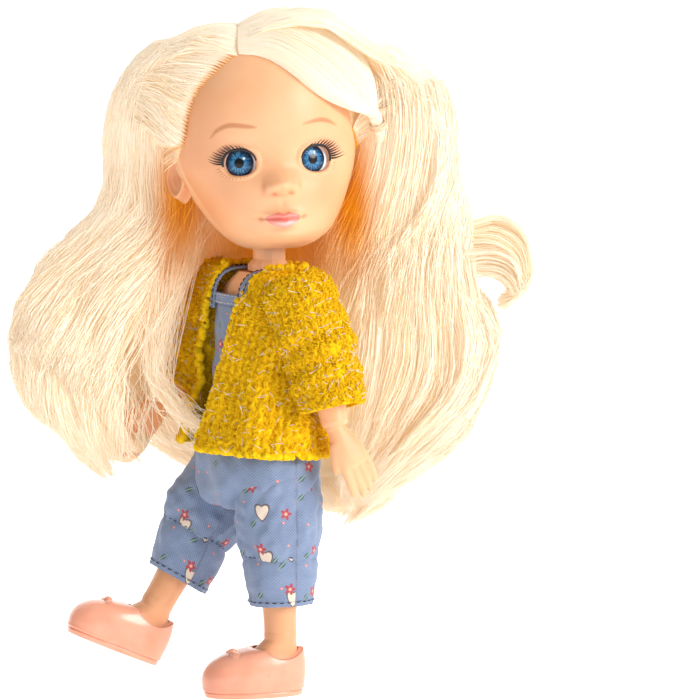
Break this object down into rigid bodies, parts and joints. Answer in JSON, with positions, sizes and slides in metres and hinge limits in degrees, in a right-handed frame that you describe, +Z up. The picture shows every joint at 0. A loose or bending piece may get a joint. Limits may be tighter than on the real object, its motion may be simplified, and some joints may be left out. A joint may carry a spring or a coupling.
{
  "type": "jointed baby doll",
  "caption": "Small standing baby doll with long rooted blonde hair, knit cardigan, denim romper and slip-on shoes, posable at neck, arms and legs.",
  "frame": {"origin": "middle of the left shoe's sole, which stands flat on the ground", "axes": "+Z up; the torso faces -Y and +X is the doll's left; the head is turned 69 degrees to the doll's left"},
  "size_m": [0.0732, 0.1021, 0.1526],
  "materials": {
    "vinyl": "soft matte vinyl",
    "plastic": "satin moulded plastic",
    "eyes": "clear gloss over a printed iris",
    "lashes": "black bristle",
    "hair": "silky platinum fibre",
    "elastic": "clear",
    "denim": "washed woven cotton with a small print",
    "knit": "fuzzy knit with glitter yarn",
    "shoes": "glossy soft vinyl"
  },
  "bodies": {
    "torso": {"torso_front": "plastic", "torso_back": "plastic", "romper_body": "denim", "romper_strap_left": "denim", "romper_strap_right": "denim", "cardigan_body": "knit"},
    "neck": {"neck_knob": "plastic"},
    "head": {"head_shell": "vinyl", "eye_left": "eyes", "eye_right": "eyes", "lashes_left": "lashes", "lashes_right": "lashes", "eye_carrier": "plastic", "hair_cap": "hair", "hair_fringe": "hair", "hair_lock_left": "hair", "hair_tie": "elastic", "hair_fall_right": "hair", "hair_fall_left": "hair", "hair_fall_back": "hair", "hair_curl_left": "hair"},
    "shoulder_left": {"shoulder_peg_left": "plastic"},
    "upper_arm_left": {"upper_arm_left": "plastic", "elbow_pin_left": "plastic", "cardigan_sleeve_left": "knit"},
    "forearm_left": {"forearm_left": "vinyl"},
    "wrist_left": {"wrist_peg_left": "plastic"},
    "hand_left": {"hand_left": "vinyl"},
    "hip_left": {"hip_peg_left": "plastic"},
    "thigh_left": {"thigh_left": "plastic", "knee_pin_left": "plastic", "romper_leg_left": "denim"},
    "shin_left": {"shin_left": "vinyl", "romper_cuff_left": "denim"},
    "ankle_left": {"ankle_peg_left": "plastic"},
    "foot_left": {"foot_left": "vinyl", "shoe_left": "shoes"},
    "shoulder_right": {"shoulder_peg_right": "plastic"},
    "upper_arm_right": {"upper_arm_right": "plastic", "elbow_pin_right": "plastic", "cardigan_sleeve_right": "knit"},
    "forearm_right": {"forearm_right": "vinyl"},
    "wrist_right": {"wrist_peg_right": "plastic"},
    "hand_right": {"hand_right": "vinyl"},
    "hip_right": {"hip_peg_right": "plastic"},
    "thigh_right": {"thigh_right": "plastic", "knee_pin_right": "plastic", "romper_leg_right": "denim"},
    "shin_right": {"shin_right": "vinyl", "romper_cuff_right": "denim"},
    "ankle_right": {"ankle_peg_right": "plastic"},
    "foot_right": {"foot_right": "vinyl", "shoe_right": "shoes"}
  },
  "joints": [
    {"name": "neck_turn", "type": "hinge", "parent": "torso", "child": "neck", "pos_m": [-0.01026, 0.01132, 0.10069], "axis": [-0.0122, 0.0332, 0.9994], "range_deg": [-150, 10], "deforming": ["hair_fall_right", "hair_fall_left", "hair_fall_back", "hair_curl_left"]},
    {"name": "neck_nod", "type": "hinge", "parent": "neck", "child": "head", "pos_m": [-0.01026, 0.01132, 0.10069], "axis": [0.3587, 0.9331, -0.0266], "range_deg": [-4, 6]},
    {"name": "shoulder_swing_left", "type": "hinge", "parent": "torso", "child": "shoulder_left", "pos_m": [0.00538, 0.00994, 0.08952], "axis": [0.9999, 0, 0.0122], "range_deg": [-120, 20], "deforming": ["cardigan_body", "romper_strap_left"]},
    {"name": "shoulder_raise_left", "type": "hinge", "parent": "shoulder_left", "child": "upper_arm_left", "pos_m": [0.00538, 0.00994, 0.08952], "axis": [0.0031, -0.9673, -0.2537], "range_deg": [-6, 70]},
    {"name": "elbow_left", "type": "hinge", "parent": "upper_arm_left", "child": "forearm_left", "pos_m": [0.00967, 0.01373, 0.07512], "axis": [-0.9609, 0.0674, -0.2686], "range_deg": [-8.6, 80], "deforming": ["cardigan_sleeve_left"]},
    {"name": "wrist_turn_left", "type": "hinge", "parent": "forearm_left", "child": "wrist_left", "pos_m": [0.01365, 0.01514, 0.06124], "axis": [-0.2743, -0.0973, 0.9567], "range_deg": [-80, 80]},
    {"name": "wrist_flex_left", "type": "hinge", "parent": "wrist_left", "child": "hand_left", "pos_m": [0.01365, 0.01514, 0.06124], "axis": [0.0383, 0.993, 0.1119], "range_deg": [-35, 35]},
    {"name": "hip_swing_left", "type": "hinge", "parent": "torso", "child": "hip_left", "pos_m": [-0.00094, 0.00864, 0.05026], "axis": [-0.9999, 0, -0.0122], "range_deg": [-20, 80], "deforming": ["romper_body", "romper_leg_left"]},
    {"name": "hip_spread_left", "type": "hinge", "parent": "hip_left", "child": "thigh_left", "pos_m": [-0.00094, 0.00864, 0.05026], "axis": [0, -1, -0.0017], "range_deg": [0, 30]},
    {"name": "knee_left", "type": "hinge", "parent": "thigh_left", "child": "shin_left", "pos_m": [0.00067, 0.00867, 0.03183], "axis": [0.9962, -0.0001, 0.0872], "range_deg": [0, 80], "deforming": ["romper_cuff_left"]},
    {"name": "ankle_turn_left", "type": "hinge", "parent": "shin_left", "child": "ankle_left", "pos_m": [0.00228, 0.0087, 0.0134], "axis": [-0.0872, -0.0017, 0.9962], "range_deg": [-20, 25]},
    {"name": "ankle_flex_left", "type": "hinge", "parent": "ankle_left", "child": "foot_left", "pos_m": [0.00228, 0.0087, 0.0134], "axis": [0.9636, -0.2539, 0.0839], "range_deg": [-18, 18]},
    {"name": "shoulder_swing_right", "type": "hinge", "parent": "torso", "child": "shoulder_right", "pos_m": [-0.02562, 0.00994, 0.08914], "axis": [0.9999, 0, 0.0122], "range_deg": [-80, 50], "deforming": ["romper_strap_right"]},
    {"name": "shoulder_raise_right", "type": "hinge", "parent": "shoulder_right", "child": "upper_arm_right", "pos_m": [-0.02562, 0.00994, 0.08914], "axis": [0.0047, 0.9245, -0.381], "range_deg": [-2, 70]},
    {"name": "elbow_right", "type": "hinge", "parent": "upper_arm_right", "child": "forearm_right", "pos_m": [-0.02774, 0.0041, 0.07494], "axis": [-0.9906, 0.0563, 0.1246], "range_deg": [-14, 74], "deforming": ["cardigan_sleeve_right"]},
    {"name": "wrist_turn_right", "type": "hinge", "parent": "forearm_right", "child": "wrist_right", "pos_m": [-0.02967, -0.00445, 0.06339], "axis": [-0.1337, -0.5894, -0.7967], "range_deg": [-80, 80]},
    {"name": "wrist_flex_right", "type": "hinge", "parent": "wrist_right", "child": "hand_right", "pos_m": [-0.02967, -0.00445, 0.06339], "axis": [0.0285, -0.8059, 0.5914], "range_deg": [-35, 35]},
    {"name": "hip_swing_right", "type": "hinge", "parent": "torso", "child": "hip_right", "pos_m": [-0.01834, 0.00864, 0.05005], "axis": [-0.9999, 0, -0.0122], "range_deg": [-42, 48], "deforming": ["romper_leg_right"]},
    {"name": "hip_spread_right", "type": "hinge", "parent": "hip_right", "child": "thigh_right", "pos_m": [-0.01834, 0.00864, 0.05005], "axis": [0.006, 0.8712, -0.4909], "range_deg": [-3, 24]},
    {"name": "knee_right", "type": "hinge", "parent": "thigh_right", "child": "shin_right", "pos_m": [-0.02024, -0.00038, 0.03401], "axis": [0.9947, -0.0556, -0.0865], "range_deg": [0, 80], "deforming": ["romper_cuff_right"]},
    {"name": "ankle_turn_right", "type": "hinge", "parent": "shin_right", "child": "ankle_right", "pos_m": [-0.02214, -0.00941, 0.01797], "axis": [-0.1026, -0.4877, -0.8669], "range_deg": [-20, 25]},
    {"name": "ankle_flex_right", "type": "hinge", "parent": "ankle_right", "child": "foot_right", "pos_m": [-0.02214, -0.00941, 0.01797], "axis": [0.9694, -0.2443, 0.0227], "range_deg": [-18, 18]}
  ]
}
